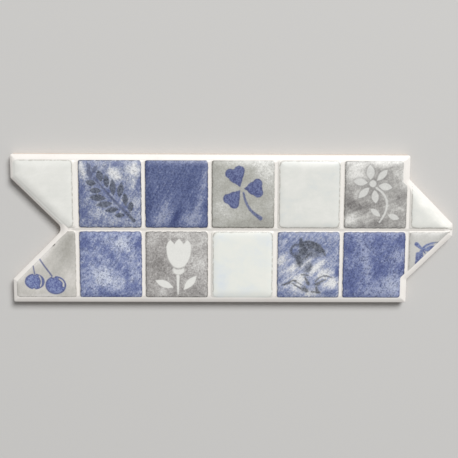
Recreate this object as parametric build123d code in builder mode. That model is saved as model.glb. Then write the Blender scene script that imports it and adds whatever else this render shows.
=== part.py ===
# Glazed ceramic border tile with a notched end and a pointed end.
# Its face is moulded as two rows of squares with sunken joint lines, inside a
# rolled margin. Sizes in mm, back on Z = 0, point towards +X, glazed face up.
import os
from math import sqrt
from build123d import *

# Squares of the face
cell_width = 31.45
cell_height = 34.1
notched_cell_foot = 4.19
whole_columns = 5
groove_width = 1.7
cell_rise = 0.9
cushion_run = 1.6
cushion_drop = 0.6
cushion_radius = 3.5
cell_corner_radius = 1.2

# Margin round the squares, rolled down to the edge of the tile
margin = 2.55
field_shift = 0.6
rim_run = 2.2
rim_drop = 1.2
rim_radius = 1.2
crest_radius = 3.0

# Body, notch and point
bed_height = 6.6
shoulder_overhang = 1.3
notch_half_mouth = 25.6
notch_root_radius = 3.4
point_half_base = 25.5
nose_width = 6.0
plan_corner_radius = 0.9

# Keying grooves in the back
back_rim = 5.0
key_count = 7
key_pitch = 9.5
key_width = 6.0
key_depth = 0.6

half_width = margin + cell_height + groove_width / 2
pitch = cell_width + groove_width
notched_cell_end = notch_half_mouth + margin * sqrt(2) - field_shift - groove_width / 2 + notched_cell_foot
body_length = notched_cell_end + whole_columns * pitch + shoulder_overhang
point_reach = point_half_base - nose_width / 2
overall_length = body_length + point_reach
notch_x = -overall_length / 2
root_x = notch_x + notch_half_mouth
shoulder_x = notch_x + body_length
apex_x = shoulder_x + point_half_base
nose_x = overall_length / 2
first_groove_x = notch_x + notched_cell_end + groove_width / 2

# Outline: notch and point are cut at 45 degrees, so that the point of one tile sits in the next notch
with BuildSketch() as outline:
    Polygon(
        (root_x, 0),
        (notch_x, notch_half_mouth),
        (notch_x, half_width),
        (shoulder_x, half_width),
        (shoulder_x, point_half_base),
        (nose_x, nose_width / 2),
        (nose_x, -nose_width / 2),
        (shoulder_x, -point_half_base),
        (shoulder_x, -half_width),
        (notch_x, -half_width),
        (notch_x, -notch_half_mouth),
        align=None,
    )
    fillet(outline.vertices().sort_by_distance((root_x, 0, 0))[0], notch_root_radius)

# Slab up to the floor of the joint lines, with the margin sloped and rolled over at the edge
with BuildPart() as body:
    extrude(outline.sketch, amount=bed_height)
    bed = body.faces().sort_by(Axis.Z)[-1]
    chamfer(bed.edges(), length=rim_run, length2=rim_drop, reference=bed)
    fillet(body.faces().sort_by(Axis.Z)[-1].edges(), crest_radius)
    walls = body.faces().filter_by(lambda face: abs(face.normal_at().Z) < 0.01)
    fillet(walls.edges().group_by(Axis.Z)[-1], rim_radius)
    uprights = body.edges().filter_by(Axis.Z).sort_by_distance((root_x, 0, 0))
    fillet(uprights[2:], plan_corner_radius)

# Squares: the outline run out to a sharp point and drawn in by the margin, less the joint lines
with BuildSketch(Plane.XY.offset(bed_height)) as squares:
    with Locations((-field_shift, 0)):
        Polygon(
            (root_x, 0),
            (notch_x, notch_half_mouth),
            (notch_x, half_width),
            (shoulder_x, half_width),
            (shoulder_x, point_half_base),
            (apex_x, 0),
            (shoulder_x, -point_half_base),
            (shoulder_x, -half_width),
            (notch_x, -half_width),
            (notch_x, -notch_half_mouth),
            align=None,
        )
    offset(amount=-margin, kind=Kind.INTERSECTION, mode=Mode.REPLACE)
    Rectangle(2 * overall_length, groove_width, mode=Mode.SUBTRACT)
    for column in range(whole_columns + 1):
        with Locations((first_groove_x + column * pitch, 0)):
            Rectangle(groove_width, 2 * half_width, mode=Mode.SUBTRACT)

# Each square is a low cushion with soft shoulders above a small upright step
cushions = []
for square in squares.sketch.faces():
    with BuildPart() as cushion:
        extrude(square, amount=cell_rise)
        crown = cushion.faces().sort_by(Axis.Z)[-1]
        chamfer(crown.edges(), length=cushion_run, length2=cushion_drop, reference=crown)
        fillet(cushion.faces().sort_by(Axis.Z)[-1].edges(), cushion_radius)
        fillet(cushion.edges().filter_by(Axis.Z), cell_corner_radius)
    cushions.append(cushion.part)

# Shallow keying grooves inside a flat rim, for the adhesive bed
with BuildSketch() as back_field:
    add(outline.sketch)
    offset(amount=-back_rim, kind=Kind.INTERSECTION, mode=Mode.REPLACE)

with BuildSketch() as keys:
    with GridLocations(0, key_pitch, 1, key_count):
        Rectangle(overall_length, key_width)
    add(back_field.sketch, mode=Mode.INTERSECT)

with BuildPart() as tile:
    add(body.part)
    add(cushions)
    extrude(keys.sketch, amount=key_depth, mode=Mode.SUBTRACT)

tile.part.label = "border_tile"
os.makedirs("parts", exist_ok=True)
export_step(tile.part, "parts/border_tile.step")
print("overall", round(overall_length, 2), round(2 * half_width, 2), round(bed_height + cell_rise, 2))
print("volume", round(tile.part.volume), "solids", len(tile.part.solids()), "valid", tile.part.is_valid)
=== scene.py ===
import math
import bmesh
import bpy
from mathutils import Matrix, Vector


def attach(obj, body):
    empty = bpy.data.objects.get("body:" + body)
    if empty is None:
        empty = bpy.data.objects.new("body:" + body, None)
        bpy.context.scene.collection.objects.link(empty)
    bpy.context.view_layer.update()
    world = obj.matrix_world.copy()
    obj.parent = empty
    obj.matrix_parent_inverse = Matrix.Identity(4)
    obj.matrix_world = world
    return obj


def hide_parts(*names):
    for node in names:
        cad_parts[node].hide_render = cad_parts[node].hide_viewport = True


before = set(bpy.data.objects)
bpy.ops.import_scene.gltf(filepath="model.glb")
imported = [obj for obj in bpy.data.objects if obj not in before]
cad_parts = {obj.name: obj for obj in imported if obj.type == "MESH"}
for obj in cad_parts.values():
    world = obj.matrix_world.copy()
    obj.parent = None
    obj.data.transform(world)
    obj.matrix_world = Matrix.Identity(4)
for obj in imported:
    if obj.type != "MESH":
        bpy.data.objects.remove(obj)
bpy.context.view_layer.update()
print("frame loaded")

mm = 0.001

tileShape = {  # mm, as in the part's source
    "length": 221.496,
    "bodyLength": 198.996,
    "halfWidth": 37.5,
    "notchHalfMouth": 25.6,
    "pointHalfBase": 25.5,
    "noseHalfWidth": 3.0,
    "bedHeight": 6.6,
    "margin": 2.55,
    "fieldShift": 0.6,
    "groove": 1.7,
    "cellWidth": 31.45,
    "cellHeight": 34.1,
    "columns": 5,
    "firstGroove": 32.796,  # centre of the first joint line, from the notched end
    "cornerRadius": 0.9,
    "rootRadius": 3.4,
    "cornerSteps": 6,
    # drawn in from the edge, height: wall, rolled rim, sloping margin, flat bed
    "rim": [(0, 0), (0, 5.1), (0.04, 5.28), (0.13, 5.42), (0.3, 5.55), (0.7, 5.77),
            (1.2, 6.04), (1.7, 6.29), (2.1, 6.46), (2.5, 6.56), (2.97, 6.6)],
    # height over the bed, drawn in from a joint line, drawn in from the margin, corner radius
    "cushion": [(-0.4, -0.6, -0.35, 1.5), (0.03, -0.34, 0.26, 1.35), (0.08, -0.13, 0.35, 1.25),
                (0.16, 0.03, 0.5, 1.15), (0.27, 0.13, 0.8, 1.2), (0.38, 0.33, 1.16, 1.3),
                (0.5, 0.68, 1.6, 1.5), (0.62, 1.15, 2.1, 1.8), (0.73, 1.75, 2.65, 2.1),
                (0.81, 2.45, 3.2, 2.4), (0.86, 3.2, 3.8, 2.8), (0.89, 4.0, 4.5, 3.2)],
    "shortestSide": 0.7,
    "sideStep": 0.1,
    "cornerShare": 0.46,  # a rounded corner takes at most this much of a side
    "cornerShrink": 0.4,  # outward corners of the rim tighten by this much of the inset
    "tightestCorner": 0.35,
    "whiteSquares": [(0, 0), (4, 0), (6, 0), (3, 1)],
    "whiteFoot": -0.9,  # white squares run out into the margin
    "pointReach": {(6, 0): 0.6, (6, 1): 0.3},  # squares of the point stand this much nearer to its edge
    "pointCorner": 0.4,  # and have sharper corners, by this factor
    "backRim": 5.0,
    "keyPitch": 9.5,
    "keyWidth": 6.0,
    "keyDepth": 0.6,
    "keyCount": 7,
    "keyCorner": 0.5,
    "keyStart": 0.5,  # the cutter begins this far below the back
    "sharpAngle": 40,
}
touching = 0.01  # mm, for telling whether a side lies on a joint line
sameLevel = 1e-6  # m, for telling contours apart by their height
notchX = -tileShape["length"] / 2
shoulderX = notchX + tileShape["bodyLength"]
noseX = tileShape["length"] / 2
pitch = tileShape["cellWidth"] + tileShape["groove"]
firstGrooveX = notchX + tileShape["firstGroove"]
grooves = [firstGrooveX + pitch * i for i in range(tileShape["columns"] + 1)]
edgeSquareHalf = {0: 15.3, 6: 9.8}  # half widths of the squares cut by the notch and the point


def tileCorners(blunt):
    half, mouth, base = tileShape["halfWidth"], tileShape["notchHalfMouth"], tileShape["pointHalfBase"]
    nose = tileShape["noseHalfWidth"]
    tip = [(noseX, -nose), (noseX, nose)] if blunt else [(shoulderX + base, 0)]
    points = [(notchX + mouth, 0), (notchX, -mouth), (notchX, -half), (shoulderX, -half), (shoulderX, -base)]
    points += tip + [(shoulderX, base), (shoulderX, half), (notchX, half), (notchX, mouth)]
    return [Vector(p) for p in points]


def turnAt(corners, i):  # signed turn at a corner, positive on an outward corner
    before = (corners[i] - corners[i - 1]).normalized()
    after = (corners[(i + 1) % len(corners)] - corners[i]).normalized()
    return math.atan2(before.x * after.y - before.y * after.x, before.dot(after))


def drawnIn(corners, distances):  # each side moved inwards by its own distance
    moved = []
    for i, corner in enumerate(corners):
        before = (corner - corners[i - 1]).normalized()
        after = (corners[(i + 1) % len(corners)] - corner).normalized()
        first, second = Vector((-before.y, before.x)), Vector((-after.y, after.x))
        near, far = distances[i - 1], distances[i]
        cross = first.x * second.y - first.y * second.x
        moved.append(corner + Vector((near * second.y - far * first.y, far * first.x - near * second.x)) / cross)
    return moved


def addContour(bm, corners, height, radii):
    verts = [bm.verts.new((c.x * mm, c.y * mm, height * mm)) for c in corners]
    bm.faces.new(verts)
    count = len(corners)
    for i, vert in enumerate(verts):
        shortest = min((corners[i] - corners[i - 1]).length, (corners[(i + 1) % count] - corners[i]).length)
        reach = min(radii[i] * math.tan(abs(turnAt(corners, i)) / 2), tileShape["cornerShare"] * shortest)
        bmesh.ops.bevel(bm, geom=[vert], offset=reach * mm, offset_type="OFFSET", affect="VERTICES",
                        segments=tileShape["cornerSteps"], profile=0.5, material=-1, clamp_overlap=False)


def levelEdges(bm, height):
    return [e for e in bm.edges if all(abs(v.co.z - height * mm) < sameLevel for v in e.verts)]


def joinContours(bm, heights):
    inner = [f for f in bm.faces if sameLevel < f.calc_center_median().z - heights[0] * mm
             and f.calc_center_median().z - heights[-1] * mm < -sameLevel]
    bmesh.ops.delete(bm, geom=inner, context="FACES_ONLY")
    for low, high in zip(heights, heights[1:]):
        bmesh.ops.bridge_loops(bm, edges=levelEdges(bm, low) + levelEdges(bm, high))
    bmesh.ops.recalc_face_normals(bm, faces=bm.faces[:])


def meshObject(bm, name):
    mesh = bpy.data.meshes.new(name)
    bm.to_mesh(mesh)
    bm.free()
    piece = bpy.data.objects.new(name, mesh)
    bpy.context.scene.collection.objects.link(piece)
    return piece


def makeSlab():
    corners = tileCorners(blunt=True)
    bm = bmesh.new()
    for inset, height in tileShape["rim"]:
        radii = []
        for i in range(len(corners)):
            if i == 0:
                radii.append(tileShape["rootRadius"] + inset)
            elif turnAt(corners, i) < 0:
                radii.append(tileShape["cornerRadius"] + inset)
            else:
                radii.append(max(tileShape["cornerRadius"] - tileShape["cornerShrink"] * inset,
                                 tileShape["tightestCorner"]))
        addContour(bm, drawnIn(corners, [inset] * len(corners)), height, radii)
    joinContours(bm, [height for inset, height in tileShape["rim"]])
    return meshObject(bm, "slab")


def squareFaces():  # outline drawn in by the margin, cut along the joint lines
    bm = bmesh.new()
    corners = tileCorners(blunt=False)
    corners = drawnIn(corners, [tileShape["margin"]] * len(corners))
    bm.faces.new([bm.verts.new((c.x - tileShape["fieldShift"], c.y, 0)) for c in corners])
    half = tileShape["groove"] / 2
    cuts = [((0, y, 0), (0, 1, 0)) for y in (-half, half)]
    cuts += [((x + side, 0, 0), (1, 0, 0)) for x in grooves for side in (-half, half)]
    for place, normal in cuts:
        bmesh.ops.bisect_plane(bm, geom=bm.verts[:] + bm.edges[:] + bm.faces[:],
                               dist=1e-4, plane_co=place, plane_no=normal)
    squares = {}
    for face in bm.faces:
        middle = face.calc_center_median()
        column = math.floor((middle.x - firstGrooveX) / pitch) + 1
        nearest = min(abs(middle.x - x) for x in grooves)
        if abs(middle.y) > half and nearest > half:
            outline = [v.co.xy.copy() for v in face.verts]
            if face.normal.z < 0:
                outline.reverse()
            squares[(column, 0 if middle.y > 0 else 1)] = outline
    bm.free()
    return squares


def sidesOnJoints(corners):
    half = tileShape["groove"] / 2
    found = []
    for i, corner in enumerate(corners):
        other = corners[(i + 1) % len(corners)]
        fromGroove = min(abs(abs(corner.x - x) - half) for x in grooves)
        level = abs(corner.y - other.y) < touching and abs(abs(corner.y) - half) < touching
        upright = abs(corner.x - other.x) < touching and fromGroove < touching
        found.append(level or upright)
    return found


def keepSides(corners, insets):  # a side that would shrink away is drawn in further, so that it stays
    for i, corner in enumerate(corners):
        after = (i + 1) % len(corners)
        moved = drawnIn(corners, insets)
        while (moved[after] - moved[i]).dot(corners[after] - corner) < 0 \
                or (moved[after] - moved[i]).length < tileShape["shortestSide"]:
            insets[i] += tileShape["sideStep"]
            moved = drawnIn(corners, insets)
    return moved


def makeCushions(squares, slots):
    pieces = []
    for key in sorted(squares):
        corners = squares[key]
        onJoint = sidesOnJoints(corners)
        bm = bmesh.new()
        heights = []
        for rise, fromJoint, fromMargin, radius in tileShape["cushion"]:
            height = tileShape["bedHeight"] + rise
            heights.append(height)
            if rise < 0 and key in tileShape["whiteSquares"]:
                fromMargin = tileShape["whiteFoot"]
            if key in tileShape["pointReach"]:
                fromMargin -= tileShape["pointReach"][key]
                radius *= tileShape["pointCorner"]
            insets = [fromJoint if joint else fromMargin for joint in onJoint]
            addContour(bm, keepSides(corners, insets), height, [radius] * len(corners))
        joinContours(bm, heights)
        for face in bm.faces:
            face.material_index = slots[key]
        pieces.append(meshObject(bm, "square"))
    return pieces


def makeKeys():  # the shallow grooves of the back, as a cutter
    bm = bmesh.new()
    corners = tileCorners(blunt=True)
    radii = [tileShape["rootRadius"] + tileShape["backRim"]] + [tileShape["keyCorner"]] * (len(corners) - 1)
    addContour(bm, drawnIn(corners, [tileShape["backRim"]] * len(corners)), -tileShape["keyStart"], radii)
    middle = (tileShape["keyCount"] - 1) / 2
    lines = [(i - middle) * tileShape["keyPitch"] for i in range(tileShape["keyCount"])]
    for y in lines:
        for side in (-0.5, 0.5):
            bmesh.ops.bisect_plane(bm, geom=bm.verts[:] + bm.edges[:] + bm.faces[:], dist=1e-7,
                                   plane_co=(0, (y + side * tileShape["keyWidth"]) * mm, 0), plane_no=(0, 1, 0))
    lands = [f for f in bm.faces
             if min(abs(f.calc_center_median().y / mm - y) for y in lines) > tileShape["keyWidth"] / 2]
    bmesh.ops.delete(bm, geom=lands, context="FACES")
    raised = bmesh.ops.extrude_face_region(bm, geom=bm.faces[:])
    bmesh.ops.translate(bm, verts=[g for g in raised["geom"] if isinstance(g, bmesh.types.BMVert)],
                        vec=(0, 0, (tileShape["keyStart"] + tileShape["keyDepth"]) * mm))
    bmesh.ops.recalc_face_normals(bm, faces=bm.faces[:])
    return meshObject(bm, "keys")


squares = squareFaces()
print("squares", sorted(squares))


# Materials
def tint(red, green, blue):
    def linear(value):
        value = value / 255
        return value / 12.92 if value <= 0.04045 else ((value + 0.055) / 1.055) ** 2.4
    return (linear(red), linear(green), linear(blue), 1.0)


def feed(tree, socket, value):
    if isinstance(value, bpy.types.NodeSocket):
        tree.links.new(value, socket)
    else:
        socket.default_value = value


def addNode(tree, kind, inputs=None, **settings):
    node = tree.nodes.new(kind)
    for name, value in settings.items():
        setattr(node, name, value)
    for name, value in (inputs or {}).items():
        feed(tree, node.inputs[name], value)
    return node


def maths(tree, operation, *values, clamp=False):
    node = addNode(tree, "ShaderNodeMath", operation=operation, use_clamp=clamp)
    for socket, value in zip(node.inputs, values):
        feed(tree, socket, value)
    return node.outputs[0]


def newGroup(name, inputs, outputs):
    group = bpy.data.node_groups.new(name, "ShaderNodeTree")
    for label, kind, value in inputs:
        group.interface.new_socket(label, in_out="INPUT", socket_type="NodeSocket" + kind).default_value = value
    for label in outputs:
        group.interface.new_socket(label, in_out="OUTPUT", socket_type="NodeSocketFloat")
    return group, group.nodes.new("NodeGroupInput").outputs, group.nodes.new("NodeGroupOutput").inputs


def noiseAt(tree, vector, scale, seed=0.0, detail=3.0, roughness=0.55, distortion=0.0):
    node = addNode(tree, "ShaderNodeTexNoise", noise_dimensions="4D", inputs={
        "Vector": vector, "Scale": scale, "W": seed, "Detail": detail,
        "Roughness": roughness, "Distortion": distortion})
    return node.outputs[0]


def spread(tree, value, amount):  # noise about zero, times an amount
    return maths(tree, "MULTIPLY", maths(tree, "MULTIPLY_ADD", value, 2.0, -1.0), amount)


def axesOf(tree, vector):
    return addNode(tree, "ShaderNodeSeparateXYZ", inputs={"Vector": vector}).outputs


def smoothStep(tree, value, start, end, top=1.0):
    node = addNode(tree, "ShaderNodeMapRange", interpolation_type="SMOOTHSTEP", inputs={
        "Value": value, "From Min": start, "From Max": end, "To Max": top})
    return node.outputs[0]


glazeGrain = {  # noise scales per mm, then where specks, pits, edge lines and bites begin and end
    "patchEdge": 0.35,
    "inkEdge": 0.9,
    "mottle": 0.62,
    "grain": 1.3,
    "specks": 1.15,
    "tornEdge": 0.6,
    "wavyEdge": 0.42,
    "slowRipple": 0.14,
    "fineRipple": 0.8,
    "pits": 1.6,
    "glazeFoot": 0.09,
    "grit": 2.2,
    "speckRange": (0.48, 0.62),
    "pitRange": (0.74, 0.8),
    "lineEnd": -0.15,
    "breakRange": 0.14,
    "biteRange": (-0.22, 0.02),
    "fineShare": 0.12,
    "dullShare": 0.14,
    "bumpDepth": 0.00004,
}

dabInputs = [("Vector", "Vector", (0, 0, 0)), ("Place", "Vector", (0, 0, 0)),
             ("Turn", "Float", 0.0), ("Size", "Vector", (1, 1, 1))]


def dabAxes(group, given, scaled):  # the point as seen from the dab's own middle and direction
    turn = addNode(group, "ShaderNodeCombineXYZ", inputs={"Z": given["Turn"]}).outputs[0]
    inputs = {"Vector": given["Vector"], "Location": given["Place"], "Rotation": turn}
    if scaled:
        inputs["Scale"] = given["Size"]
    own = addNode(group, "ShaderNodeMapping", vector_type="TEXTURE", inputs=inputs).outputs[0]
    return axesOf(group, own), axesOf(group, given["Size"])


def makeLeafDab():  # pointed at both ends
    group, given, out = newGroup("leaf dab", dabInputs, ["Distance"])
    axes, size = dabAxes(group, given, True)
    bow = maths(group, "MULTIPLY_ADD", axes[0], axes[0], -1.0)
    side = maths(group, "ADD", maths(group, "ABSOLUTE", axes[1]), bow)
    feed(group, out["Distance"], maths(group, "MULTIPLY", side, size[1]))
    return group


def makeOvalDab():
    group, given, out = newGroup("oval dab", dabInputs, ["Distance"])
    axes, size = dabAxes(group, given, True)
    square = maths(group, "MULTIPLY_ADD", axes[0], axes[0], maths(group, "MULTIPLY", axes[1], axes[1]))
    side = maths(group, "SUBTRACT", maths(group, "SQRT", square), 1.0)
    feed(group, out["Distance"], maths(group, "MULTIPLY", side, maths(group, "MINIMUM", size[0], size[1])))
    return group


def makeStrokeDab():  # size: half length, half width at its start and at its end
    group, given, out = newGroup("stroke dab", dabInputs, ["Distance"])
    axes, size = dabAxes(group, given, False)
    over = maths(group, "MAXIMUM", maths(group, "SUBTRACT", maths(group, "ABSOLUTE", axes[0]), size[0]), 0.0)
    square = maths(group, "MULTIPLY_ADD", over, over, maths(group, "MULTIPLY", axes[1], axes[1]))
    along = maths(group, "MULTIPLY_ADD", maths(group, "DIVIDE", axes[0], size[0]), 0.5, 0.5, clamp=True)
    half = maths(group, "MULTIPLY_ADD", along, maths(group, "SUBTRACT", size[2], size[1]), size[1])
    feed(group, out["Distance"], maths(group, "SUBTRACT", maths(group, "SQRT", square), half))
    return group


def makeSoftPatch():  # a cloud of more or less colour, fading outwards
    group, given, out = newGroup("soft patch", dabInputs + [("Ragged", "Float", 0.6)], ["Mask"])
    axes, size = dabAxes(group, given, True)
    square = maths(group, "MULTIPLY_ADD", axes[0], axes[0], maths(group, "MULTIPLY", axes[1], axes[1]))
    torn = noiseAt(group, given["Vector"], glazeGrain["patchEdge"], 3.1, 4.0, 0.6)
    reach = maths(group, "ADD", square, spread(group, torn, given["Ragged"]))
    fade = maths(group, "EXPONENT", maths(group, "MULTIPLY", maths(group, "MAXIMUM", reach, 0.0), -1.0))
    feed(group, out["Mask"], fade)
    return group


def makeInkEdge():  # distance from a stencilled shape to ink, with a slightly uneven edge
    group, given, out = newGroup("ink edge", [
        ("Distance", "Float", 1.0), ("Vector", "Vector", (0, 0, 0)), ("Wobble", "Float", 0.15),
        ("Softness", "Float", 0.18)], ["Mask"])
    uneven = noiseAt(group, given["Vector"], glazeGrain["inkEdge"], 5.3, 3.0, 0.6)
    distance = maths(group, "ADD", given["Distance"], spread(group, uneven, given["Wobble"]))
    inside = maths(group, "MULTIPLY", given["Softness"], -1.0)
    feed(group, out["Mask"], smoothStep(group, distance, given["Softness"], inside))
    return group


def makeWash():  # clouds, brush streaks and print grain round a level
    group, given, out = newGroup("glaze wash", [
        ("Vector", "Vector", (0, 0, 0)), ("Seed", "Float", 0.0), ("Level", "Float", 0.5),
        ("Cloud Size", "Float", 8.0), ("Clouds", "Float", 0.3), ("Streak Turn", "Float", 1.0),
        ("Streak Size", "Vector", (9, 2, 1)), ("Streaks", "Float", 0.2), ("Mottle", "Float", 0.0),
        ("Grain", "Float", 0.1)], ["Tone", "Specks"])
    cloud = noiseAt(group, given["Vector"], maths(group, "DIVIDE", 1.0, given["Cloud Size"]),
                    given["Seed"], 7.0, 0.68, 0.5)
    turn = addNode(group, "ShaderNodeCombineXYZ", inputs={"Z": given["Streak Turn"]}).outputs[0]
    drawn = addNode(group, "ShaderNodeMapping", vector_type="TEXTURE", inputs={
        "Vector": given["Vector"], "Rotation": turn, "Scale": given["Streak Size"]}).outputs[0]
    streak = noiseAt(group, drawn, 1.0, maths(group, "ADD", given["Seed"], 7.0), 4.0, 0.6, 0.3)
    mottle = noiseAt(group, given["Vector"], glazeGrain["mottle"],
                     maths(group, "ADD", given["Seed"], 3.0), 4.0, 0.7, 0.8)
    grain = noiseAt(group, given["Vector"], glazeGrain["grain"], given["Seed"], 2.0, 0.75)
    tone = given["Level"]
    for noise, strength in ((cloud, "Clouds"), (streak, "Streaks"), (mottle, "Mottle"), (grain, "Grain")):
        tone = maths(group, "ADD", tone, spread(group, noise, given[strength]))
    feed(group, out["Tone"], tone)
    dots = noiseAt(group, given["Vector"], glazeGrain["specks"],
                   maths(group, "ADD", given["Seed"], 5.0), 3.0, 0.85)
    feed(group, out["Specks"], smoothStep(group, dots, *glazeGrain["speckRange"]))
    return group


def makeEdgeLine():  # broken darker line along the sides of a square, partly the print's edge and partly painted shade at the square's foot, and bites in the print outside it
    group, given, out = newGroup("square edge", [
        ("Vector", "Vector", (0, 0, 0)), ("Half Width", "Float", 15.7), ("Half Height", "Float", 17.05),
        ("Corner", "Float", 1.7), ("Line", "Float", 0.5), ("Broken", "Float", 0.45),
        ("Bite", "Float", 0.3)], ["Line", "Bite"])
    axes = axesOf(group, given["Vector"])
    across = maths(group, "SUBTRACT", maths(group, "ABSOLUTE", axes[0]), given["Half Width"])
    along = maths(group, "SUBTRACT", maths(group, "ABSOLUTE", axes[1]), given["Half Height"])
    outwards = maths(group, "SMOOTH_MAX", across, along, given["Corner"])
    torn = noiseAt(group, given["Vector"], glazeGrain["tornEdge"], 8.8, 4.0, 0.65)
    wavy = spread(group, noiseAt(group, given["Vector"], glazeGrain["wavyEdge"], 1.7, 3.0, 0.6), 1.0)
    side = maths(group, "MULTIPLY_ADD", wavy, given["Bite"], outwards)
    band = smoothStep(group, side, maths(group, "MULTIPLY", given["Line"], -1.0), glazeGrain["lineEnd"])
    kept = smoothStep(group, torn, maths(group, "SUBTRACT", given["Broken"], glazeGrain["breakRange"]),
                      maths(group, "ADD", given["Broken"], glazeGrain["breakRange"]))
    feed(group, out["Line"], maths(group, "MULTIPLY", band, kept))
    feed(group, out["Bite"], smoothStep(group, side, *glazeGrain["biteRange"]))
    return group


def makeRipple():  # slow waves in the melted glaze and a few fine pits
    group, given, out = newGroup("glaze ripple", [
        ("Vector", "Vector", (0, 0, 0)), ("Pits", "Float", 0.4), ("Dull", "Float", 0.2)], ["Height", "Roughness"])
    slow = noiseAt(group, given["Vector"], glazeGrain["slowRipple"], 2.0, 2.0, 0.45)
    fine = noiseAt(group, given["Vector"], glazeGrain["fineRipple"], 4.0, 2.0, 0.5)
    height = maths(group, "MULTIPLY_ADD", fine, glazeGrain["fineShare"], slow)
    pits = smoothStep(group, noiseAt(group, given["Vector"], glazeGrain["pits"], 6.0, 1.0, 0.5),
                      *glazeGrain["pitRange"])
    feed(group, out["Height"], maths(group, "SUBTRACT", height, maths(group, "MULTIPLY", pits, given["Pits"])))
    feed(group, out["Roughness"], maths(group, "MULTIPLY_ADD", slow, glazeGrain["dullShare"], given["Dull"]))
    return group


dabs = {"leaf": makeLeafDab(), "oval": makeOvalDab(), "stroke": makeStrokeDab()}
softPatch, inkEdge, glazeWash = makeSoftPatch(), makeInkEdge(), makeWash()
squareEdge, glazeRipple = makeEdgeLine(), makeRipple()


def useGroup(tree, group, **inputs):
    node = addNode(tree, "ShaderNodeGroup", node_tree=group)
    for name, value in inputs.items():
        feed(tree, node.inputs[name], value)
    return node.outputs


def dabDistance(tree, local, dab):
    kind, numbers = dab[0], dab[1:]
    if kind == "stroke":  # from x, y to x, y, with the width at both ends
        x0, y0, x1, y1, w0, w1 = numbers
        place, turn = ((x0 + x1) / 2, (y0 + y1) / 2, 0), math.atan2(y1 - y0, x1 - x0)
        size = (math.hypot(x1 - x0, y1 - y0) / 2, w0 / 2, w1 / 2)
    else:  # middle x, y, length, width, turn
        x, y, length, width, degrees = numbers
        place, turn, size = (x, y, 0), math.radians(degrees), (length / 2, width / 2, 1)
    return useGroup(tree, dabs[kind], Vector=local, Place=place, Turn=turn, Size=size)["Distance"]


def curveStrokes(x0, y0, x1, y1, x2, y2, w0, w1, steps=4):  # a bent stroke, from straight ones
    def at(t):
        a, b, c = (1 - t) ** 2, 2 * t * (1 - t), t * t
        return a * x0 + b * x1 + c * x2, a * y0 + b * y1 + c * y2, w0 + (w1 - w0) * t
    points = [at(i / steps) for i in range(steps + 1)]
    return [("stroke", *p[:2], *q[:2], p[2], q[2]) for p, q in zip(points, points[1:])]


def stencil(tree, local, shapes):  # dabs joined, then those of "cut" taken out
    joined = None
    plain = []
    for dab in shapes:
        if "curve" in dab[:2]:
            at = dab.index("curve")
            plain += [dab[:at] + stroke for stroke in curveStrokes(*dab[at + 1:])]
        else:
            plain.append(dab)
    for dab in plain:
        cut = dab[0] == "cut"
        distance = dabDistance(tree, local, dab[1:] if cut else dab)
        if joined is None:
            joined = distance
        elif cut:
            joined = maths(tree, "MAXIMUM", joined, maths(tree, "MULTIPLY", distance, -1.0))
        else:
            joined = maths(tree, "MINIMUM", joined, distance)
    return joined


def mixColour(tree, factor, first, second):
    node = addNode(tree, "ShaderNodeMix", data_type="RGBA")
    feed(tree, node.inputs[0], factor)
    feed(tree, node.inputs[6], first)
    feed(tree, node.inputs[7], second)
    return node.outputs[2]


def colourRamp(tree, tone, stops):
    node = addNode(tree, "ShaderNodeValToRGB", inputs={"Fac": tone})
    elements = node.color_ramp.elements
    while len(elements) < len(stops):
        elements.new(0.5)
    for element, (place, colour) in zip(elements, stops):
        element.position = place
        element.color = tint(*colour)
    return node.outputs[0]


# Middles of the prints, mm: the printing screen is not quite in step with the moulded squares
screen = {
    "columns": [-94.1, -61.6, -28.3, 5.0, 38.3, 71.6, 98.45],
    "rows": [18.05, -18.05],
    "pastPoint": 6.0,  # the point's squares have no upright side on the right, so theirs is moved out
}


def squarePlace(column, row):  # middle of a print, its square's middle from there, the square's half width
    half = edgeSquareHalf.get(column, tileShape["cellWidth"] / 2)
    joint = tileShape["groove"] / 2
    x = grooves[0] - joint - half if column == 0 else grooves[column - 1] + joint + half
    y = (joint + tileShape["cellHeight"] / 2) * (1 if row == 0 else -1)
    if column > tileShape["columns"]:
        half, x = half + screen["pastPoint"], x + screen["pastPoint"]
    middle = (screen["columns"][column], screen["rows"][row])
    return middle, (x - middle[0], y - middle[1], 0), half


def startMaterial(name, centre):
    material = bpy.data.materials.new(name)
    material.use_nodes = True
    tree = material.node_tree
    seat = addNode(tree, "ShaderNodeTexCoord").outputs["Object"]
    local = addNode(tree, "ShaderNodeMapping", inputs={
        "Vector": seat, "Location": (-centre[0], -centre[1], 0), "Scale": [1 / mm] * 3}).outputs[0]
    return material, tree, local, tree.nodes["Principled BSDF"]


printShop = {  # what the inks of all prints share
    "inkSeed": 11.0,
    "inkCloudSize": 5.0,
    "inkClouds": 0.55,
    "inkStops": (0.15, 0.85),
    "outlineWobble": 0.25,
    "outlineSoftness": 0.3,
    "fadeRagged": 0.2,
}


def patchMask(tree, local, patch, ragged):
    x, y, length, width, degrees = patch
    return useGroup(tree, softPatch, Vector=local, Place=(x, y, 0), Turn=math.radians(degrees),
                    Size=(length / 2, width / 2, 1), Ragged=ragged)["Mask"]


def finishGlaze(tree, shader, colour, roughness, height):
    bump = addNode(tree, "ShaderNodeBump", inputs={
        "Height": height, "Distance": glazeGrain["bumpDepth"]}).outputs[0]
    for name, value in (("Base Color", colour), ("Roughness", roughness), ("Normal", bump)):
        feed(tree, shader.inputs[name], value)


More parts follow.
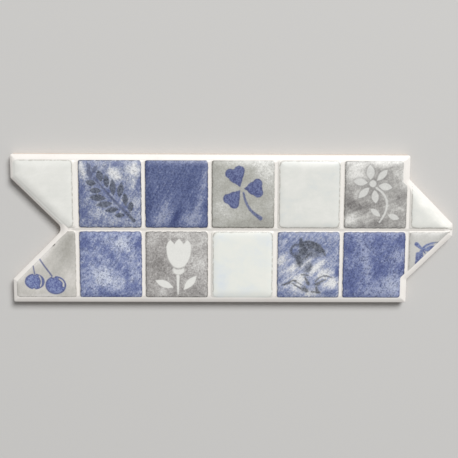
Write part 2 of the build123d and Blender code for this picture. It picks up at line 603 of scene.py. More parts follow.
def squareMaterial(look):
    centre, middle, halfWidth = squarePlace(*look["square"])
    material, tree, local, shader = startMaterial(look["name"], centre)
    washed = useGroup(tree, glazeWash, Vector=local, **look["wash"])
    tone = washed["Tone"]
    for *patch, strength in look["patches"]:
        tone = maths(tree, "MULTIPLY_ADD", patchMask(tree, local, patch, look["ragged"]), strength, tone)
    colour = colourRamp(tree, tone, look["colours"])
    if look["specks"]:
        dark = maths(tree, "MULTIPLY", washed["Specks"], look["specks"])
        colour = mixColour(tree, dark, colour, tint(*look["speckInk"]))
    for layer in look["prints"]:
        distance = stencil(tree, local, layer["dabs"])
        mask = useGroup(tree, inkEdge, Distance=distance, Vector=local,
                        Wobble=layer["wobble"], Softness=layer["softness"])["Mask"]
        grain = useGroup(tree, glazeWash, **{
            "Vector": local, "Seed": look["wash"]["Seed"] + printShop["inkSeed"], "Level": 0.5,
            "Cloud Size": printShop["inkCloudSize"], "Clouds": printShop["inkClouds"],
            "Streaks": 0.0, "Grain": layer["grain"]})["Tone"]
        ink = colourRamp(tree, grain, list(zip(printShop["inkStops"], layer["inks"])))
        if "outline" in layer:
            width, strength = layer["outline"]
            inside = maths(tree, "ABSOLUTE", maths(tree, "ADD", distance, width / 2))
            near = maths(tree, "SUBTRACT", inside, width / 2)
            line = useGroup(tree, inkEdge, Distance=near, Vector=local, Wobble=printShop["outlineWobble"],
                            Softness=printShop["outlineSoftness"])["Mask"]
            ink = mixColour(tree, maths(tree, "MULTIPLY", line, strength), ink, tint(*layer["outlineInk"]))
        colour = mixColour(tree, maths(tree, "MULTIPLY", mask, layer["cover"]), colour, ink)
    left, right = look["drawnIn"]
    fromMiddle = addNode(tree, "ShaderNodeMapping", vector_type="TEXTURE", inputs={
        "Vector": local, "Location": (middle[0] + (left - right) / 2, middle[1], 0)}).outputs[0]
    edge = useGroup(tree, squareEdge, **{
        "Vector": fromMiddle, "Half Width": halfWidth - (left + right) / 2,
        "Half Height": tileShape["cellHeight"] / 2, "Corner": look["edgeCorner"],
        "Line": look["edgeLine"], "Broken": look["edgeBroken"], "Bite": look["bite"]})
    rim = edge["Line"]
    for patch in look["edgeFade"]:
        soft = patchMask(tree, local, patch, printShop["fadeRagged"])
        rim = maths(tree, "MULTIPLY", rim, maths(tree, "SUBTRACT", 1.0, soft))
    # the edge line: the print's darker edge, deepened with painted shade where the square meets the joint lines
    colour = mixColour(tree, maths(tree, "MULTIPLY", rim, look["edgeCover"]), colour, tint(*look["edge"]))
    colour = mixColour(tree, edge["Bite"], colour, tint(*look["biteColour"]))
    ripple = useGroup(tree, glazeRipple, Vector=local, Dull=look["dull"])
    finishGlaze(tree, shader, colour, ripple["Roughness"], ripple["Height"])
    return material


def washOf(seed, level, clouds, streaks, mottle, grain):
    turn, length, width, strength = streaks
    return {"Seed": seed, "Level": level, "Cloud Size": clouds[0], "Clouds": clouds[1],
            "Streak Turn": math.radians(turn), "Streak Size": (length, width, 1), "Streaks": strength,
            "Mottle": mottle, "Grain": grain}


# Squares, mm from the middle of the print. Patches: x, y, length, width, turn, more or less colour.
# Leaf and oval dabs: x, y, length, width, turn. Strokes and curves: their points, then the width at both ends.
squareBase = {
    "patches": [], "prints": [], "specks": 0.0, "edgeFade": [], "ragged": 0.6, "drawnIn": (0, 0),
    "edgeCorner": 1.7, "edgeLine": 0.95, "bite": 0.5, "biteColour": (226, 222, 216),
}

whiteSquare = {
    **squareBase, "name": "white glaze upper row", "square": (4, 0), "dull": 0.27,
    "wash": washOf(2.0, 0.42, clouds=(11.0, 0.6), streaks=(8, 14, 6, 0.45), mottle=0.0, grain=0.14),
    "colours": [(0.1, (211, 215, 214)), (0.4, (219, 220, 215)), (0.65, (225, 225, 220)), (0.9, (231, 231, 226))],
    "edge": (142, 136, 126), "edgeCover": 0.66, "edgeBroken": 0.42, "edgeLine": 1.0, "edgeCorner": 3.6,
    "drawnIn": (0.4, 0.4), "bite": 0.4, "biteColour": (228, 225, 219),
}

whiteLower = {
    **whiteSquare, "name": "white glaze lower row", "square": (3, 1), "drawnIn": (0.5, 0.5),
    "wash": {**whiteSquare["wash"], "Seed": 5.0, "Level": 0.66, "Streak Turn": math.radians(-20)},
    "patches": [(-11.0, -8.0, 9, 14, 0, -0.3), (3.0, -12.5, 12, 6, 0, -0.25), (13.0, 11.0, 7, 8, 0, -0.18)],
    "colours": [(0.1, (214, 221, 227)), (0.4, (223, 227, 226)), (0.65, (228, 230, 224)), (0.9, (232, 232, 225))],
    "edgeFade": [(0.0, -16.6, 46, 4, 0)],
}

whiteNotch = {
    **whiteSquare, "name": "white glaze by the notch", "square": (0, 0), "drawnIn": (0, 0.9),
    "wash": {**whiteSquare["wash"], "Seed": 7.0, "Level": 0.6},
    "edgeFade": [(-2.2, -3.6, 52, 5, -45), (-14.4, 12.0, 4, 24, 0)],
}

whiteTip = {
    **whiteSquare, "name": "white glaze at the point", "square": (6, 0), "drawnIn": (0.5, 0),
    "wash": {**whiteSquare["wash"], "Seed": 8.0, "Level": 0.5},
    "patches": [(2.0, -7.6, 40, 9, -45, 0.24)],
    "colours": [(0.1, (211, 215, 214)), (0.4, (220, 221, 216)), (0.65, (227, 227, 221)), (1.0, (243, 241, 235))],
}

sprigSquare = {
    **squareBase, "name": "sprig on marbled blue", "square": (1, 0), "dull": 0.34,
    "wash": washOf(4.0, 0.53, clouds=(6.5, 0.34), streaks=(65, 6, 1.6, 0.36), mottle=0.26, grain=0.45),
    "specks": 0.46, "speckInk": (52, 58, 84),
    "patches": [
        (-13.6, 12.6, 4, 9, 20, 0.45), (1.8, 11.0, 5, 6, 20, 0.5), (4.0, 8.6, 6, 4, 0, 0.3),
        (12.0, 12.4, 7, 8, 20, 0.55), (11.8, 5.0, 5, 7, 0, 0.3), (12.3, -4.2, 5, 5, 0, 0.2),
        (-5.5, -9.6, 9, 6, 0, 0.14), (4.0, -13.4, 8, 4, 0, 0.14), (3.2, 14.6, 7, 3, 30, -0.22),
        (14.3, 4.4, 3, 9, -10, -0.3), (-14.0, 2.5, 4, 11, 0, -0.24), (-12.8, -9.6, 5, 6, 0, -0.26),
        (-8.6, -13.0, 7, 4, 0, -0.12), (1.0, -1.0, 26, 8, -46, -0.08)],
    "colours": [(0.1, (80, 91, 136)), (0.38, (107, 117, 154)), (0.55, (138, 146, 172)),
                (0.75, (182, 187, 200)), (1.0, (222, 223, 224))],
    "prints": [{
        "inks": [(50, 55, 68), (108, 114, 128)], "grain": 1.5, "cover": 0.9, "wobble": 0.5, "softness": 0.4,
        "dabs": [
            ("leaf", -4.7, 8.9, 6.0, 3.6, 104), ("leaf", -1.4, 6.3, 6.8, 3.0, 98), ("leaf", 1.7, 3.3, 8.4, 3.1, 94),
            ("leaf", 5.5, 1.9, 7.8, 3.2, 80), ("leaf", 7.8, -2.8, 6.8, 2.9, 95), ("leaf", 10.5, -6.5, 5.8, 2.9, 82),
            ("leaf", -9.1, 5.5, 5.4, 3.1, -10), ("leaf", -7.0, 1.6, 6.0, 2.9, -4),
            ("leaf", -5.8, -2.0, 8.4, 3.4, -4), ("leaf", -2.6, -5.3, 8.0, 3.2, 7), ("leaf", 1.2, -8.1, 6.6, 2.9, 6),
            ("leaf", 5.1, -10.8, 5.2, 2.4, 2), ("stroke", 8.4, -9.6, 12.1, -13.4, 1.3, 1.8)],
    }, {
        "inks": [(64, 70, 94), (104, 111, 136)], "grain": 1.0, "cover": 0.82, "wobble": 0.3, "softness": 0.38,
        "dabs": [
            ("stroke", -7.6, 8.0, 2.5, -3.6, 0.8, 1.2), ("stroke", 2.5, -3.6, 8.8, -10.0, 1.2, 1.6),
            ("leaf", -9.7, 10.0, 5.6, 2.6, 108), ("leaf", -7.0, 12.2, 4.8, 2.3, 62),
            ("leaf", -10.0, 13.6, 3.8, 2.2, 112)],
    }],
    "edge": (50, 55, 76), "edgeCover": 0.92, "edgeBroken": 0.43,
}

deepBlueSquare = {
    **squareBase, "name": "brushed deep blue", "square": (2, 0), "dull": 0.24,
    "wash": washOf(9.0, 0.38, clouds=(7.0, 0.18), streaks=(62, 9, 0.9, 0.42), mottle=0.24, grain=0.66),
    "specks": 0.46, "speckInk": (38, 45, 78),
    "patches": [
        (-6.8, -11.5, 14, 9, 62, 0.42), (-3.6, -3.0, 12, 2.4, 60, 0.2), (7.6, -12.6, 11, 8, 30, 0.42),
        (12.2, -1.0, 18, 3.4, 77, 0.34), (14.2, 10.0, 10, 2.5, 85, 0.26), (-0.3, -12.2, 11, 3.2, 66, -0.5),
        # the thin lighter strip along the top edge, at 0.0, 16.2, is a painted highlight
        (-13.6, -7.0, 3.2, 22, 0, -0.15), (14.8, -7.0, 2.5, 3, 0, -0.25), (0.0, 16.2, 26, 1.8, 0, 0.26),
        (2.0, 4.0, 20, 14, 60, -0.08)],
    "colours": [(0.0, (64, 74, 118)), (0.3, (88, 99, 138)), (0.55, (112, 122, 158)), (0.85, (154, 161, 184))],
    "edge": (44, 50, 84), "edgeCover": 0.9, "edgeBroken": 0.42,
}

cloverSquare = {
    **squareBase, "name": "clover on warm grey", "square": (3, 0), "dull": 0.24,
    "wash": washOf(13.0, 0.46, clouds=(9.0, 0.5), streaks=(20, 10, 4, 0.25), mottle=0.16, grain=0.44),
    "specks": 0.22, "speckInk": (108, 104, 98),
    "patches": [
        (-11.0, -8.5, 11, 15, 0, 0.22), (11.4, 10.6, 11, 15, 0, 0.5), (1.0, 15.0, 18, 4, 0, 0.36),
        (13.0, -12.0, 8, 9, 0, -0.12), (-13.6, 13.0, 5, 7, 0, -0.16), (2.0, -14.0, 16, 4, 0, -0.12)],
    "colours": [(0.1, (154, 153, 147)), (0.45, (173, 173, 166)), (0.75, (192, 192, 187)), (1.0, (226, 226, 221))],
    "prints": [{
        "inks": [(62, 71, 119), (110, 120, 161)], "grain": 1.6, "cover": 0.95, "wobble": 0.34, "softness": 0.36,
        "outline": (0.5, 0.6), "outlineInk": (58, 66, 112),
        "dabs": [
            ("stroke", -6.6, 10.2, -1.9, 4.0, 5.0, 0.5), ("stroke", -2.1, 11.5, -1.7, 4.0, 5.6, 0.6),
            ("oval", -4.0, 8.6, 7.6, 6.2, -35), ("oval", -4.5, 10.5, 4.4, 4.2, 0),
            ("stroke", 7.0, 5.3, 0.6, 2.8, 5.0, 0.4), ("stroke", 7.3, 0.9, 0.6, 2.8, 5.2, 0.4),
            ("oval", 5.2, 3.0, 7.0, 6.6, 0), ("oval", 7.3, 3.0, 4.2, 4.4, 0),
            ("stroke", -7.5, -2.3, -1.8, 1.8, 5.2, 0.5), ("stroke", -4.5, -4.8, -1.8, 1.8, 5.0, 0.5),
            ("oval", -5.0, -2.0, 7.2, 6.0, 40), ("oval", -6.1, -3.8, 4.2, 3.8, 0)],
    }, {
        "inks": [(72, 80, 120), (116, 124, 156)], "grain": 1.5, "cover": 0.92, "wobble": 0.34, "softness": 0.36,
        "dabs": [("curve", 0.1, 0.6, 1.2, -6.2, 5.2, -9.5, 1.0, 1.5), ("stroke", 5.2, -9.5, 8.6, -12.0, 1.5, 2.2)],
    }],
    "edge": (96, 92, 85), "edgeCover": 0.92, "edgeBroken": 0.4, "ragged": 0.25,
    "edgeFade": [(2.0, 16.8, 26, 3, 0), (15.6, 2.0, 3, 26, 0)],
}

daisySquare = {
    **squareBase, "name": "daisy on clouded grey", "square": (5, 0), "dull": 0.36,
    "wash": washOf(17.0, 0.45, clouds=(5.5, 0.46), streaks=(25, 8, 2.2, 0.42), mottle=0.4, grain=0.36),
    "specks": 0.2, "speckInk": (96, 92, 90),
    "patches": [
        (-10.4, 11.0, 9, 10, 60, 0.62), (4.2, 14.8, 8, 3, 15, 0.3), (10.5, 10.5, 9, 9, 0, 0.16),
        (-12.2, -4.6, 8, 6, 0, -0.24), (-5.4, -6.6, 13, 6, 0, -0.24), (10.2, -1.0, 9, 7, 0, -0.16),
        (-12.8, -12.6, 8, 6, 20, 0.42), (-6.0, -11.0, 7, 3, 20, 0.2), (11.0, -7.0, 8, 4, 20, 0.16),
        (0.5, -14.6, 14, 3, 10, -0.2), (-9.5, -0.3, 6, 4, 45, 0.24), (14.6, 11.0, 4, 16, 0, 0.45),
        (4.0, 16.2, 24, 2.5, 0, 0.3)],
    "colours": [(0.05, (114, 111, 110)), (0.4, (159, 157, 154)), (0.65, (189, 188, 184)), (1.0, (224, 223, 219))],
    "prints": [{
        "inks": [(128, 126, 125), (148, 146, 144)], "grain": 0.5, "cover": 0.5, "wobble": 0.4, "softness": 0.8,
        "dabs": [
            ("leaf", -3.4, 11.2, 9.0, 5.8, 93), ("leaf", 2.5, 9.8, 9.0, 4.8, 47), ("leaf", 4.2, 4.0, 8.6, 5.4, -7),
            ("leaf", -0.8, -1.0, 8.4, 5.1, -82), ("leaf", -6.5, 0.9, 9.1, 4.9, 45),
            ("leaf", -8.3, 6.4, 8.8, 5.2, 173), ("oval", -2.1, 5.5, 5.2, 5.2, 0)],
    }, {
        "inks": [(198, 198, 195), (218, 218, 214)], "grain": 0.7, "cover": 0.94, "wobble": 0.24, "softness": 0.36,
        "dabs": [
            ("leaf", -3.4, 11.2, 7.4, 4.0, 93), ("leaf", 2.5, 9.8, 7.4, 3.2, 47), ("leaf", 4.2, 4.0, 7.0, 3.7, -7),
            ("leaf", -0.8, -1.0, 6.8, 3.5, -82), ("leaf", -6.5, 0.9, 7.5, 3.3, 45),
            ("leaf", -8.3, 6.4, 7.2, 3.6, 173), ("oval", -2.1, 5.5, 3.5, 3.5, 0),
            ("curve", -0.2, 3.4, 5.6, -0.4, 5.3, -5.4, 1.0, 1.1),
            ("curve", 5.3, -5.4, 5.0, -9.2, 1.8, -13.8, 1.1, 0.8), ("leaf", -0.4, -9.0, 6.4, 2.6, -38),
            ("leaf", 8.7, -11.2, 6.2, 2.9, -20)],
    }],
    "edge": (92, 89, 86), "edgeCover": 0.9, "edgeBroken": 0.44,
    "edgeFade": [(4.0, 16.8, 34, 4, 0), (15.6, 3.0, 4, 34, 0)],
}

cherrySquare = {
    **squareBase, "name": "cherries on pale grey", "square": (0, 1), "dull": 0.34,
    "wash": washOf(21.0, 0.58, clouds=(9.0, 0.4), streaks=(55, 10, 3.5, 0.3), mottle=0.12, grain=0.24),
    "specks": 0.08, "speckInk": (120, 116, 110),
    "patches": [
        (10.5, 8.0, 11, 16, -15, -0.5), (13.0, 14.0, 8, 6, 0, -0.25), (-8.0, -13.0, 12, 5, 0, 0.2),
        (12.0, -6.0, 6, 12, 0, 0.1), (-2.9, 2.9, 44, 4, 45, 0.4), (-2.0, -16.2, 30, 2.5, 0, 0.4)],
    "colours": [(0.1, (164, 162, 155)), (0.4, (184, 182, 176)), (0.7, (202, 199, 193)), (1.0, (220, 217, 213))],
    "prints": [{
        "inks": [(74, 86, 144), (134, 147, 188)], "grain": 1.6, "cover": 0.95, "wobble": 0.2, "softness": 0.26,
        "outline": (0.6, 0.7), "outlineInk": (66, 75, 122),
        "dabs": [
            ("oval", -5.55, -8.5, 10.0, 8.1, 0), ("oval", 4.95, -10.4, 10.5, 9.5, 0),
            ("cut", "oval", -5.6, -4.2, 1.7, 1.7, 0), ("cut", "oval", -6.0, -12.8, 1.6, 1.6, 0),
            ("cut", "oval", 3.9, -5.6, 2.0, 1.6, 30),
            ("cut", "curve", -3.2, -5.7, -1.6, -8.0, -2.7, -10.8, 0.6, 0.5),
            ("cut", "curve", 6.7, -7.1, 9.4, -8.3, 8.8, -10.8, 0.6, 0.8)],
    }, {
        "inks": [(66, 76, 122), (98, 108, 150)], "grain": 1.0, "cover": 0.85, "wobble": 0.2, "softness": 0.3,
        "dabs": [("stroke", -6.3, -0.8, -5.5, -4.6, 0.6, 0.8), ("stroke", -2.8, 2.6, 3.1, -5.6, 0.8, 0.8)],
    }, {
        "inks": [(72, 70, 68), (98, 96, 92)], "grain": 0.3, "cover": 0.85, "wobble": 0.2, "softness": 0.3,
        "dabs": [("stroke", 3.9, 9.6, 4.7, 10.4, 0.6, 0.7)],
    }],
    "edge": (136, 131, 122), "edgeCover": 0.6, "edgeBroken": 0.5,
}

marbledSquare = {
    **squareBase, "name": "marbled blue", "square": (1, 1), "dull": 0.36,
    "wash": washOf(25.0, 0.58, clouds=(4.6, 0.6), streaks=(55, 3.6, 1.2, 0.5), mottle=0.2, grain=0.5),
    "specks": 0.76, "speckInk": (66, 75, 114),
    "patches": [
        (-12.0, 12.0, 11, 10, 0, -0.31), (6.0, 10.0, 9, 8, 40, 0.36), (14.2, 11.0, 4, 7, 0, -0.36),
        (10.0, 15.0, 4, 5, 0, -0.24), (1.5, 5.0, 13, 7, -45, -0.26), (-4.6, -5.6, 11, 8, 0, 0.36),
        (8.4, -6.0, 2.2, 11, 0, -0.38), (12.5, -12.2, 7, 5, 20, -0.31), (-12.5, 0.0, 6, 10, 0, -0.19),
        (3.0, -9.5, 12, 6, 0, 0.19), (-3.0, -15.4, 22, 3, 0, -0.24), (7.5, 5.4, 4, 3, 0, -0.24)],
    "colours": [(0.05, (86, 97, 146)), (0.35, (114, 125, 166)), (0.6, (153, 162, 192)), (1.0, (205, 211, 225))],
    "edge": (62, 68, 100), "edgeCover": 0.88, "edgeBroken": 0.44,
}

tulipSquare = {
    **squareBase, "name": "tulip on stippled grey", "square": (2, 1), "dull": 0.36,
    "wash": washOf(29.0, 0.5, clouds=(5.0, 0.42), streaks=(40, 5, 2.5, 0.16), mottle=0.44, grain=0.72),
    "specks": 0.26, "speckInk": (96, 93, 90),
    "patches": [
        (-9.0, -1.0, 11, 11, 0, -0.36), (11.6, 0.6, 8, 8, 0, 0.36), (1.0, 15.4, 9, 4, 0, 0.24),
        (-7.0, -14.0, 6, 5, 0, 0.36), (-10.0, 7.0, 8, 8, 0, -0.1), (9.0, -13.0, 9, 6, 0, -0.12),
        (10.5, 12.0, 10, 6, 20, 0.22), (-12.5, 12.5, 6, 7, 0, 0.18), (1.0, -9.5, 5, 9, 0, -0.12)],
    "colours": [(0.05, (126, 123, 121)), (0.4, (160, 157, 155)), (0.7, (189, 187, 184)), (1.0, (214, 213, 210))],
    "prints": [{
        "inks": [(219, 219, 215), (231, 231, 226)], "grain": 0.5, "cover": 0.97, "wobble": 0.22, "softness": 0.38,
        "dabs": [
            ("oval", 1.1, 8.4, 12.2, 19.8, 0), ("cut", "stroke", -10.0, 15.2, 12.0, 15.2, 11.0, 11.0),
            ("leaf", -2.8, 8.9, 8.2, 4.5, 96), ("leaf", 1.2, 9.2, 8.6, 5.2, 90), ("leaf", 5.2, 8.8, 8.2, 4.4, 84),
            ("stroke", 0.7, -5.6, 0.7, -14.8, 1.6, 0.7), ("leaf", -6.2, -9.6, 9.6, 3.6, -22),
            ("leaf", 6.8, -9.0, 9.4, 3.5, 48)],
    }, {
        "inks": [(214, 214, 210), (230, 230, 225)], "grain": 0.5, "cover": 0.96, "wobble": 0.22, "softness": 0.42,
        "dabs": [("oval", 1.0, -2.4, 5.8, 4.8, 0), ("cut", "oval", 1.0, 0.6, 7.0, 5.6, 0)],
    }],
    "edge": (92, 89, 86), "edgeCover": 0.9, "edgeBroken": 0.42,
}

roseSquare = {
    **squareBase, "name": "rose on brushed blue", "square": (4, 1), "dull": 0.36,
    "wash": washOf(33.0, 0.48, clouds=(5.0, 0.36), streaks=(46, 6, 1.0, 0.52), mottle=0.4, grain=0.42),
    "specks": 0.34, "speckInk": (50, 55, 76),
    "patches": [
        (-13.9, 2.4, 8, 4, 50, 0.5), (-8.4, -1.4, 10, 4, 32, 0.5), (3.4, -1.2, 9, 3.6, 38, 0.6),
        (8.0, -4.0, 11, 4, 28, 0.45), (11.6, -9.1, 9, 5.5, 0, 0.6), (-4.9, -6.6, 8, 4.5, 20, 0.45),
        (-6.5, -11.0, 9, 5, 10, 0.4), (0.7, -14.6, 8, 5, 0, 0.45), (-0.4, 2.2, 7, 2, 45, 0.35),
        (9.0, 11.0, 13, 10, 0, -0.1), (-12.4, -15.0, 9, 4, 10, -0.25), (10.8, -13.6, 10, 4, 10, -0.2),
        (14.4, -3.1, 2.5, 7, 0, -0.5), (-10.0, 8.4, 9, 8, 0, -0.16), (7.5, 2.0, 7, 4, 40, 0.12)],
    "colours": [(0.05, (88, 100, 146)), (0.35, (122, 133, 168)), (0.6, (164, 171, 194)), (0.95, (224, 225, 226))],
    "prints": [{
        "inks": [(78, 83, 97), (142, 147, 159)], "grain": 1.9, "cover": 0.76, "wobble": 1.6, "softness": 0.9,
        "dabs": [
            ("oval", 1.0, 8.3, 12.4, 8.2, -18), ("oval", -3.6, 4.4, 10.4, 6.0, 64),
            ("oval", -0.5, -0.8, 6.0, 3.5, 54), ("cut", "stroke", -6.1, -2.8, -0.7, 3.2, 0.3, 0.5)],
    }, {
        "inks": [(44, 48, 58), (92, 97, 108)], "grain": 1.7, "cover": 0.8, "wobble": 1.4, "softness": 0.8,
        "dabs": [
            ("oval", -5.0, 3.0, 7.6, 3.0, -75), ("oval", -2.8, 7.4, 5.0, 3.8, 30),
            ("oval", 0.8, 10.2, 6.0, 2.4, -6), ("oval", 4.4, 8.2, 4.6, 2.4, -35), ("oval", 0.0, 5.4, 4.4, 1.8, 35),
            ("oval", 0.3, -1.4, 3.6, 1.6, 54), ("curve", -4.6, 10.2, -8.0, 12.0, -9.1, 7.8, 1.2, 1.2),
            ("curve", -9.1, 7.8, -9.0, 4.8, -5.6, 5.0, 1.2, 1.9)],
    }, {
        "inks": [(44, 48, 58), (96, 101, 112)], "grain": 1.4, "cover": 0.86, "wobble": 0.8, "softness": 0.5,
        "dabs": [
            ("stroke", -4.2, 13.2, -3.7, 10.6, 1.9, 2.5), ("curve", -4.4, 10.6, -0.6, 13.8, 3.9, 10.7, 1.0, 1.3),
            ("curve", 3.9, 10.7, 6.4, 9.6, 7.9, 5.6, 1.4, 1.3)],
    }, {
        "inks": [(58, 61, 68), (120, 122, 126)], "grain": 1.5, "cover": 0.88, "wobble": 0.6, "softness": 0.45,
        "dabs": [
            ("stroke", -13.2, -10.1, -10.1, -8.9, 1.0, 1.1),
            ("curve", -10.1, -8.9, -8.1, -7.2, -6.3, -7.8, 1.2, 0.7), ("stroke", -7.4, -7.8, -1.7, -10.9, 0.5, 0.5),
            ("stroke", -8.3, -9.1, -2.6, -12.8, 0.7, 1.0), ("oval", -1.7, -12.4, 4.2, 2.0, -32),
            ("stroke", -3.5, -4.7, -0.3, -5.0, 0.9, 0.8), ("stroke", -1.8, -6.0, -0.2, -9.4, 0.9, 1.7),
            ("curve", 3.4, -8.2, 5.5, -5.1, 9.1, -5.3, 0.8, 0.7), ("stroke", 9.1, -5.3, 11.9, -6.3, 0.7, 0.4),
            ("oval", 4.3, -9.5, 3.4, 1.7, 10), ("stroke", 4.7, -9.1, 8.5, -7.3, 1.0, 0.8),
            ("stroke", 1.6, -13.6, 5.3, -13.8, 0.8, 1.6), ("stroke", 3.9, -11.0, 4.4, -13.3, 1.0, 1.6)],
    }],
    "edge": (62, 67, 92), "edgeCover": 0.88, "edgeBroken": 0.44,
}

streakedSquare = {
    **squareBase, "name": "streaked blue", "square": (5, 1), "dull": 0.38,
    "wash": washOf(37.0, 0.45, clouds=(5.0, 0.44), streaks=(58, 5, 1.2, 0.44), mottle=0.18, grain=0.5),
    "specks": 0.8, "speckInk": (56, 65, 102),
    "patches": [
        (-6.2, 10.0, 11, 5, 112, 0.28), (-4.2, 0.0, 12, 5, 105, 0.34), (1.5, -1.4, 9, 9, 0, -0.31),
        (14.0, 12.0, 6, 8, 0, -0.25), (2.0, 12.6, 7, 6, 0, -0.2), (-11.6, -9.0, 8, 14, 0, -0.25),
        (-13.0, 9.0, 5, 7, 0, -0.22), (9.0, -10.6, 13, 12, 20, 0.42), (-2.6, -13.0, 9, 6, 0, 0.25),
        (12.6, 4.6, 7, 7, 0, 0.28), (14.0, -1.0, 5, 4, 30, -0.28), (6.0, -4.4, 4, 4, 0, -0.14)],
    "colours": [(0.05, (78, 89, 138)), (0.35, (104, 115, 158)), (0.6, (142, 151, 184)), (1.0, (180, 187, 207))],
    "edge": (56, 63, 96), "edgeCover": 0.88, "edgeBroken": 0.43,
}

butterflySquare = {
    **squareBase, "name": "butterfly on pale grey", "square": (6, 1), "dull": 0.34,
    "wash": washOf(41.0, 0.55, clouds=(8.0, 0.35), streaks=(90, 9, 2.4, 0.3), mottle=0.14, grain=0.24),
    "specks": 0.08, "speckInk": (124, 121, 116),
    "patches": [(-3.0, -4.0, 8, 10, 0, 0.1), (3.0, 13.0, 12, 5, 0, -0.06)],
    "colours": [(0.1, (176, 175, 171)), (0.45, (195, 194, 190)), (1.0, (216, 215, 211))],
    "prints": [{
        "inks": [(120, 132, 174), (158, 167, 194)], "grain": 1.2, "cover": 0.6, "wobble": 0.25, "softness": 0.4,
        "dabs": [("stroke", -1.6, 9.3, 2.0, 10.5, 2.0, 1.8)],
    }, {
        "inks": [(66, 79, 134), (124, 137, 178)], "grain": 1.8, "cover": 0.92, "wobble": 0.28, "softness": 0.32,
        "dabs": [
            ("stroke", -6.0, 11.1, -3.2, 8.6, 2.2, 1.2), ("stroke", -3.2, 8.6, -1.3, 6.2, 1.0, 0.6),
            ("stroke", -3.5, 7.4, -4.2, 4.2, 1.8, 4.4), ("stroke", -4.2, 4.2, -5.3, 1.4, 4.4, 2.4),
            ("curve", -3.1, 8.8, -1.0, 11.6, 3.2, 11.8, 1.1, 0.8), ("stroke", -2.9, 8.3, 0.6, 8.5, 1.0, 1.5),
            ("stroke", 0.6, 8.5, 2.7, 9.8, 1.4, 0.7), ("stroke", -5.2, 6.0, -5.0, 3.0, 2.2, 2.6),
            ("leaf", 0.6, 8.7, 5.2, 2.4, 28)],
    }, {
        "inks": [(118, 124, 142), (140, 144, 156)], "grain": 0.5, "cover": 0.85, "wobble": 0.2, "softness": 0.28,
        "dabs": [("stroke", 3.4, 11.9, 5.4, 11.9, 0.6, 0.7)],
    }],
    "edge": (140, 136, 129), "edgeCover": 0.6, "edgeBroken": 0.46,
}

bodyGlaze = {
    "name": "white glaze over biscuit",
    "colours": [(0.2, (226, 220, 214)), (0.5, (234, 230, 225)), (0.8, (238, 235, 231))],
    "biscuit": [(0.2, (205, 184, 166)), (0.5, (219, 200, 183)), (0.8, (228, 211, 195))],
    "middleJointShade": (204, 200, 194),  # painted shade: the long joint line between the rows is painted greyer than the others, standing in for the shade that falls into it between the rows
    "middleEnds": (-81, 107),
    "middleCover": 0.75,
    "middleSides": (1.0, 0.3),
    "grit": 1.4,
    "glazeFoot": 3.2,  # mm above the back where the glaze stops on the walls
    "glazeUneven": 1.1,
    "glazeSoft": 0.35,
    "biscuitRoughness": 0.85,
    "dull": 0.36,
}


def bodyMaterial(look):
    material, tree, local, shader = startMaterial(look["name"], (0, 0))
    along, across, height = axesOf(tree, local)
    uneven = spread(tree, noiseAt(tree, local, glazeGrain["glazeFoot"], 1.5, 4.0, 0.6), look["glazeUneven"])
    bare = smoothStep(tree, maths(tree, "ADD", height, uneven),
                      look["glazeFoot"] + look["glazeSoft"], look["glazeFoot"] - look["glazeSoft"])
    tone = useGroup(tree, glazeWash, **{"Vector": local, "Seed": 45.0, "Level": 0.5, "Cloud Size": 14.0,
                                        "Clouds": 0.5, "Streaks": 0.1, "Grain": 0.06})["Tone"]
    dust = useGroup(tree, glazeWash, **{"Vector": local, "Seed": 49.0, "Level": 0.5, "Cloud Size": 6.0,
                                        "Clouds": 0.4, "Streaks": 0.1, "Grain": 0.6})["Tone"]
    glaze = colourRamp(tree, tone, look["colours"])
    # painted shade: the middle joint line is darkened across its width and faded out towards its ends
    start, end = look["middleEnds"]
    fromEnds = maths(tree, "SUBTRACT", (end - start) / 2, maths(
        tree, "ABSOLUTE", maths(tree, "SUBTRACT", along, (start + end) / 2)), clamp=True)
    joint = smoothStep(tree, maths(tree, "ABSOLUTE", across), *look["middleSides"], look["middleCover"])
    glaze = mixColour(tree, maths(tree, "MULTIPLY", joint, fromEnds), glaze, tint(*look["middleJointShade"]))
    colour = mixColour(tree, bare, glaze, colourRamp(tree, dust, look["biscuit"]))
    ripple = useGroup(tree, glazeRipple, Vector=local, Dull=look["dull"])
    rough = addNode(tree, "ShaderNodeMapRange", inputs={
        "Value": bare, "To Min": ripple["Roughness"], "To Max": look["biscuitRoughness"]}).outputs[0]
    grit = maths(tree, "MULTIPLY", noiseAt(tree, local, glazeGrain["grit"], 3.0, 4.0, 0.7),
                 maths(tree, "MULTIPLY", bare, look["grit"]))
    finishGlaze(tree, shader, colour, rough, maths(tree, "ADD", ripple["Height"], grit))
    return material


looks = [whiteNotch, sprigSquare, deepBlueSquare, cloverSquare, whiteSquare, daisySquare, whiteTip,
         cherrySquare, marbledSquare, tulipSquare, whiteLower, roseSquare, streakedSquare, butterflySquare]
printed = {look["square"]: squareMaterial(look) for look in looks}
materials = [bodyMaterial(bodyGlaze)]
slots = {}
for key in sorted(squares):
    slots[key] = len(materials)
    materials.append(printed[key])
print("materials", len(materials))

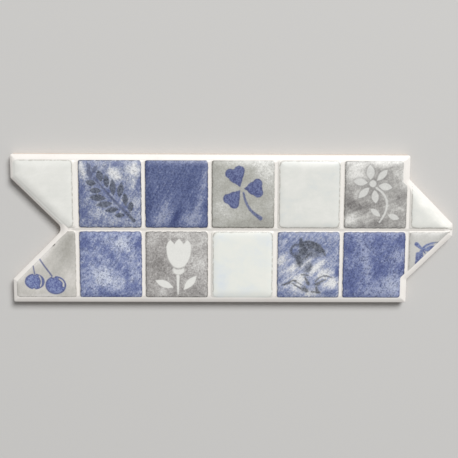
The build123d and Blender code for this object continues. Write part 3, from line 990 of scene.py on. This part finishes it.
slab = makeSlab()
cushions = makeCushions(squares, slots)
keys = makeKeys()
for piece in [slab] + cushions:
    for material in materials:
        piece.data.materials.append(material)
for cutter, action in [(piece, "UNION") for piece in cushions] + [(keys, "DIFFERENCE")]:
    join = slab.modifiers.new("join", "BOOLEAN")
    join.object = cutter
    join.operation = action
    join.solver = "EXACT"
    join.material_mode = "INDEX"
bpy.context.view_layer.update()
joined = bpy.data.meshes.new_from_object(slab.evaluated_get(bpy.context.evaluated_depsgraph_get()))
tile = bpy.data.objects.new("glazedTile", joined)
bpy.context.scene.collection.objects.link(tile)
for piece in [slab, keys] + cushions:
    bpy.data.objects.remove(piece)
print("joined", len(joined.vertices), len(joined.polygons), [m.name for m in joined.materials][:3])
joined.shade_smooth()
joined.set_sharp_from_angle(angle=math.radians(tileShape["sharpAngle"]))
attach(tile, "root")
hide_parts("border_tile")

# Floor, light and camera
ground = {"reach": 3.0, "colour": (196, 195, 193), "roughness": 0.8}
floorMesh = bmesh.new()
bmesh.ops.create_grid(floorMesh, x_segments=1, y_segments=1, size=ground["reach"])
floor = meshObject(floorMesh, "floor")
floorPaint = bpy.data.materials.new("floor paint")
floorPaint.use_nodes = True
paint = floorPaint.node_tree.nodes["Principled BSDF"].inputs
paint["Base Color"].default_value = tint(*ground["colour"])
paint["Roughness"].default_value = ground["roughness"]
floor.data.materials.append(floorPaint)

lights = {
    "keyPlace": (1.30, 2.45, 3.40),
    "keySize": 1.9,
    "keyPower": 204.0,
    "sky": (1.0, 0.99, 0.98, 1.0),
    "skyLevel": 0.26,
}
keyLamp = bpy.data.lights.new("window light", "AREA")
keyLamp.shape = "SQUARE"
keyLamp.size = lights["keySize"]
keyLamp.energy = lights["keyPower"]
keyObject = bpy.data.objects.new("window light", keyLamp)
keyObject.location = lights["keyPlace"]
keyObject.rotation_euler = (-Vector(lights["keyPlace"])).to_track_quat("-Z", "Y").to_euler()
bpy.context.scene.collection.objects.link(keyObject)
world = bpy.data.worlds.new("studio")
world.use_nodes = True
sky = world.node_tree.nodes["Background"].inputs
sky["Color"].default_value = lights["sky"]
sky["Strength"].default_value = lights["skyLevel"]
bpy.context.scene.world = world

view = {  # mm and degrees
    "place": (-9.71, 79.03, 492.82),
    "turn": (-9.193, -0.856, 0.303),
    "focalPixels": 982.6,
    "imageWidth": 458,
    "sensorWidth": 36.0,
}
camera = bpy.data.cameras.new("camera")
camera.sensor_width = view["sensorWidth"]
camera.lens = view["focalPixels"] / view["imageWidth"] * camera.sensor_width
cameraObject = bpy.data.objects.new("camera", camera)
cameraObject.location = [v * mm for v in view["place"]]
cameraObject.rotation_euler = [math.radians(a) for a in view["turn"]]
bpy.context.scene.collection.objects.link(cameraObject)
bpy.context.scene.camera = cameraObject
bpy.context.scene.view_settings.view_transform = "Standard"
print("floor, light and camera set")
